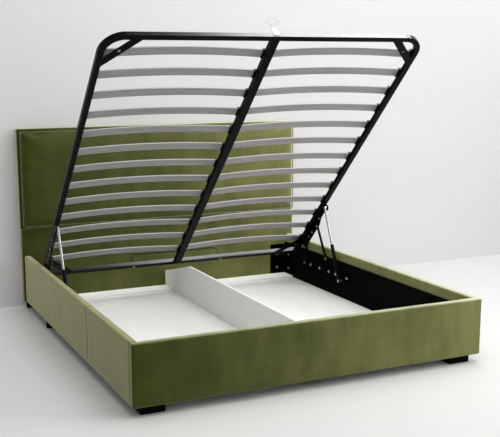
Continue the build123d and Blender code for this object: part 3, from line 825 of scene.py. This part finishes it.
# Pull strap: a tab sewn on the foot tube's outer face, a bend that lets the strap
# stand clear of the foot rail when the frame is down, a leaning neck and an oval loop.
# Runs are measured along the webbing from the tab's lower end
STRAP_THICKNESS = 0.003
STRAP_GAP = 0.0002
STRAP_TAB = 0.018
STRAP_BEND_START = 0.038
STRAP_BEND_RADIUS = 0.025
STRAP_HALF_WIDTH = 0.0165
STRAP_TAPER = 0.0030
STRAP_STEPS = 26
NECK_ASIDE = 0.004
NECK_OVERLAP = 0.003
NECK_TURN = 0.002
LOOP_HALF = (0.0350, 0.0175)
LOOP_MIDDLE = (-0.012, 0.0815)
LOOP_BAND_HALF = 0.0033
LOOP_THICKNESS = STRAP_THICKNESS * 0.92
LOOP_STEPS = 48


def strap_place(x, run, side):
    """Point at a run along the webbing; side is the way through its thickness."""
    bend = STRAP_BEND_RADIUS * OPEN_ANGLE
    a = min(max((run - STRAP_BEND_START) / bend, 0.0), 1.0) * OPEN_ANGLE
    before = min(run, STRAP_BEND_START) - STRAP_TAB
    after = max(run - STRAP_BEND_START - bend, 0.0)
    y = -STRAP_BEND_RADIUS * (1 - cos(a)) - after * sin(a)
    z = before + STRAP_BEND_RADIUS * sin(a) + after * cos(a)
    y += -STRAP_THICKNESS / 2 - STRAP_GAP + side * cos(a)
    z += side * sin(a)
    return LIFT_PLACE @ Vector((x, y - FRAME_LENGTH, z + TUBE_DEPTH))


def flat_band(work, centres, sides, thickness, closed=False):
    """Joins left and right edge points, given across and along the webbing, into a band."""
    rings = []
    for (x, run), (dx, dr) in zip(centres, sides):
        ring = []
        for reach, front in ((-1, -1), (1, -1), (1, 1), (-1, 1)):
            spot = strap_place(x + dx * reach, run + dr * reach, front * thickness / 2)
            ring.append(work.verts.new(spot))
        rings.append(ring)
    join_rings(work, rings, closed)
    if not closed:
        work.faces.new(rings[0])
        work.faces.new(rings[-1][::-1])


def pull_strap():
    neck_top = (LOOP_MIDDLE[0] + NECK_ASIDE, LOOP_MIDDLE[1] - LOOP_HALF[1] + NECK_OVERLAP)
    work = bmesh.new()
    centres, sides = [], []
    for i in range(STRAP_STEPS + 1):
        run = neck_top[1] * i / STRAP_STEPS
        t = max(0.0, run - STRAP_TAB) / (neck_top[1] - STRAP_TAB)
        ease = t * t * (3 - 2 * t)
        centres.append((neck_top[0] * ease, run))
        sides.append((STRAP_HALF_WIDTH - STRAP_TAPER * ease, -NECK_TURN * ease))
    flat_band(work, centres, sides, STRAP_THICKNESS)
    centres, sides = [], []
    for k in range(LOOP_STEPS):
        a = 2 * pi * k / LOOP_STEPS
        out = Vector((cos(a) * LOOP_HALF[1], sin(a) * LOOP_HALF[0])).normalized()
        centres.append((LOOP_MIDDLE[0] + cos(a) * (LOOP_HALF[0] - LOOP_BAND_HALF),
                        LOOP_MIDDLE[1] + sin(a) * (LOOP_HALF[1] - LOOP_BAND_HALF)))
        sides.append((out.x * LOOP_BAND_HALF, out.y * LOOP_BAND_HALF))
    flat_band(work, centres, sides, LOOP_THICKNESS, closed=True)
    bmesh.ops.recalc_face_normals(work, faces=work.faces)
    mesh = mesh_from(work, "pull_strap_webbing")
    smooth_shading(mesh, 50)
    piece = add_piece("pull_strap_webbing", mesh, "lift_frame", "strap_webbing", "pull_strap")
    broken_edges(piece, 0.0005, 2, 50)


# Camera at the photograph's place, as solved from the corners seen in it
CAMERA_PLACE = (-2.1648, -3.7278 + FOOT_Y, 1.52735)
CAMERA_TURN, CAMERA_TILT, CAMERA_ROLL = radians(-24.86), radians(-10.59), radians(-0.13)
CAMERA_SHIFT = (0.0246, 0.0413)
FOCAL_PIXELS = 945.13
PHOTO_PIXELS = 500
SENSOR_WIDTH = 36.0


def place_camera():
    look = Vector((-sin(CAMERA_TURN) * cos(CAMERA_TILT),
                   cos(CAMERA_TURN) * cos(CAMERA_TILT), sin(CAMERA_TILT)))
    right = look.cross(Vector((0, 0, 1))).normalized()
    up = right.cross(look)
    side = cos(CAMERA_ROLL) * right + sin(CAMERA_ROLL) * up
    top = -sin(CAMERA_ROLL) * right + cos(CAMERA_ROLL) * up
    data = bpy.data.cameras.new("photo_camera")
    data.sensor_width = SENSOR_WIDTH
    data.lens = FOCAL_PIXELS / PHOTO_PIXELS * SENSOR_WIDTH
    data.shift_x, data.shift_y = CAMERA_SHIFT
    data.clip_end = 100.0
    camera = new_object("photo_camera", data)
    pose = Matrix((side, top, -look)).transposed().to_4x4()
    camera.matrix_world = Matrix.Translation(CAMERA_PLACE) @ pose
    bpy.context.scene.camera = camera


# Stage: a pale floor, and a pale wall that is seen only from the front
STAGE_HALF = 14
WALL_HEIGHT = 9


def studio_paint(name, colour, one_sided):
    mat, tree, shader = new_material(name)
    set_inputs(shader, {"Base Color": (*colour, 1), "Roughness": 0.95,
                        "Specular IOR Level": 0.05})
    if one_sided:
        side = tree.nodes.new("ShaderNodeNewGeometry")
        rays = tree.nodes.new("ShaderNodeLightPath").outputs
        front = maths(tree, "SUBTRACT", 1.0, side.outputs["Backfacing"])
        seen = maths(tree, "MAXIMUM", rays["Is Camera Ray"], rays["Is Glossy Ray"])
        seen = maths(tree, "MAXIMUM", seen, rays["Is Transmission Ray"])
        clear = tree.nodes.new("ShaderNodeBsdfTransparent")
        choose = tree.nodes.new("ShaderNodeMixShader")
        tree.links.new(maths(tree, "MULTIPLY", front, seen), choose.inputs[0])
        tree.links.new(clear.outputs[0], choose.inputs[1])
        tree.links.new(shader.outputs[0], choose.inputs[2])
        output = tree.nodes["Material Output"]
        tree.links.new(choose.outputs[0], output.inputs["Surface"])
    return mat


def stage_sheet(name, corners, paint):
    work = bmesh.new()
    work.faces.new([work.verts.new(c) for c in corners])
    piece = new_object(name, mesh_from(work, name))
    piece.data.materials.append(paint)


def build_stage():
    half = STAGE_HALF
    stage_sheet("studio_floor",
                [(-half, -half, 0), (half, -half, 0), (half, half, 0), (-half, half, 0)],
                studio_paint("floor_paint", (0.560, 0.555, 0.545), False))
    stage_sheet("studio_wall",
                [(-half, WALL_Y, 0), (half, WALL_Y, 0),
                 (half, WALL_Y, WALL_HEIGHT), (-half, WALL_Y, WALL_HEIGHT)],
                studio_paint("wall_paint", (0.650, 0.638, 0.642), True))


# Each lamp's name, place, the point it looks at, size, power in watts, and what it
# reaches: matt surfaces, glossy reflections, or all
WORLD_STRENGTH = 0.57
LAMPS = [
    ("front_window", (3.3, -2.9, 2.1), (0, -0.9, 0.3), (1.6, 1.6), 77, "all"),
    ("overhead", (0.6, -0.4, 4.8), (0, 0.1, 0), (5.0, 4.0), 226, "matt"),
    ("overhead_shine", (2.45, -0.22, 4.8), (2.45, -0.22, 0), (2.5, 1.4), 1180, "gloss"),
    ("low_right", (2.4, -1.6, 0.9), (0.6, -1.1, 0.2), (0.8, 0.8), 9, "all"),
    ("side_window", (3.6, 0.9, 2.6), (0, 0.6, 0.6), (1.8, 1.8), 23, "all"),
]


def add_area_light(name, place, target, size, power, reaches):
    data = bpy.data.lights.new(name, "AREA")
    data.shape = "RECTANGLE"
    data.size, data.size_y = size
    data.energy = power
    lamp = new_object(name, data)
    lamp.visible_diffuse = reaches != "gloss"
    lamp.visible_glossy = reaches != "matt"
    aim = (Vector(target) - Vector(place)).to_track_quat("-Z", "Y").to_matrix().to_4x4()
    lamp.matrix_world = Matrix.Translation(place) @ aim


def light_studio():
    world = bpy.data.worlds.new("studio_world")
    bpy.context.scene.world = world
    world.use_nodes = True
    backdrop = world.node_tree.nodes["Background"]
    set_inputs(backdrop, {"Color": (0.98, 0.99, 1.0, 1), "Strength": WORLD_STRENGTH})
    for lamp in LAMPS:
        add_area_light(*lamp)
    bpy.context.scene.view_settings.view_transform = "Standard"


def cover_boards():
    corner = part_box("headboard_body")[1]
    panel_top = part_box("headboard_lower_panel")[1].z
    upholstered_board(
        "headboard_cover", (-corner.x, HEAD_Y + PANEL_DEPTH, RAIL_LOW), corner,
        (0.008, 0.008, 0.006), 0.0012, "headboard_body", cell=0.03, seed=3.1)
    upholstered_board(
        "headboard_panel_cover", (-corner.x, HEAD_Y, RAIL_LOW),
        (corner.x, HEAD_Y + PANEL_COVER_DEPTH, panel_top),
        (0.006, 0.006, 0.006), 0.0010, "headboard_lower_panel", cell=0.03, seed=7.4)
    upholstered_board(
        "foot_rail_cover", (-BED_HALF, FOOT_Y, RAIL_LOW),
        (BED_HALF, FOOT_Y + RAIL_THICKNESS, RAIL_TOP),
        (0.011, 0.011, 0.009), 0.0016, "foot_rail", seed=1.7)
    for side, sign in SIDES:
        reach = sorted((sign * (BED_HALF - RAIL_THICKNESS), sign * BED_HALF))
        upholstered_board(
            "side_rail_cover_" + side,
            (reach[0], FOOT_Y + RAIL_THICKNESS - RAIL_OVERLAP, RAIL_LOW),
            (reach[1], HEAD_Y, RAIL_TOP),
            (0.009, 0.004, 0.009), 0.0014, "side_rail_" + side,
            seams=[(1, SIDE_SEAM_Y)] if side == "left" else (), seed=5.0 + sign)


def pair(name):
    return [name + "_left", name + "_right"]


def round_nodes():
    """Copies of the hard-edged nodes; each width is that of the broken edge in metres."""
    for node in [*pair("side_tube"), "foot_tube", "head_tube", "centre_tube",
                 *pair("corner_bend")]:
        rounded_copy(node, 0.003, 3)
    for node in [*pair("arm_plate"), *pair("front_link"), "slat_holders_centre",
                 "foot_gussets", "head_gussets"]:
        rounded_copy(node, 0.0006)
    for node in pair("base_plate") + pair("corner_bracket"):
        rounded_copy(node, 0.0006, finish=dull_plate)
    for node in pair("slat_holders_side"):
        rounded_copy(node, 0.0006, reshape=drawn_in)
    for side, sign in SIDES:
        bore = wider_round(sign, (0.0048, 0.0054), DRESSED_BORE_RADIUS, 0.0105, -1)
        rounded_copy("strut_cylinder_" + side, 0.0004, reshape=bore)
        rod = wider_round(sign, (0.0045, 0.0056), DRESSED_ROD_RADIUS, 0.2, 0.0275)
        rounded_copy("strut_rod_" + side, 0.0004, reshape=rod)
    for node in ["retainer_bow", *pair("rear_arm"), "rest_brackets", "coach_bolts",
                 "plate_bolts", "base_pivot_pins", "link_pins", "retainer_nuts"]:
        rounded_copy(node, 0.0004)
    for node in pair("foot_leg") + pair("middle_leg") + pair("head_leg"):
        rounded_copy(node, 0.0015, 3)
    for node in ["divider", *pair("floor_panel"), "floor_rear_strip"]:
        rounded_copy(node, 0.0008)


dress_cad_nodes()
place_camera()
build_stage()
light_studio()
pad = headboard_pad()
pad_piping()
pad_stitches(pad)
lay_slats()
frame_welds()
pull_strap()
cover_boards()
round_nodes()
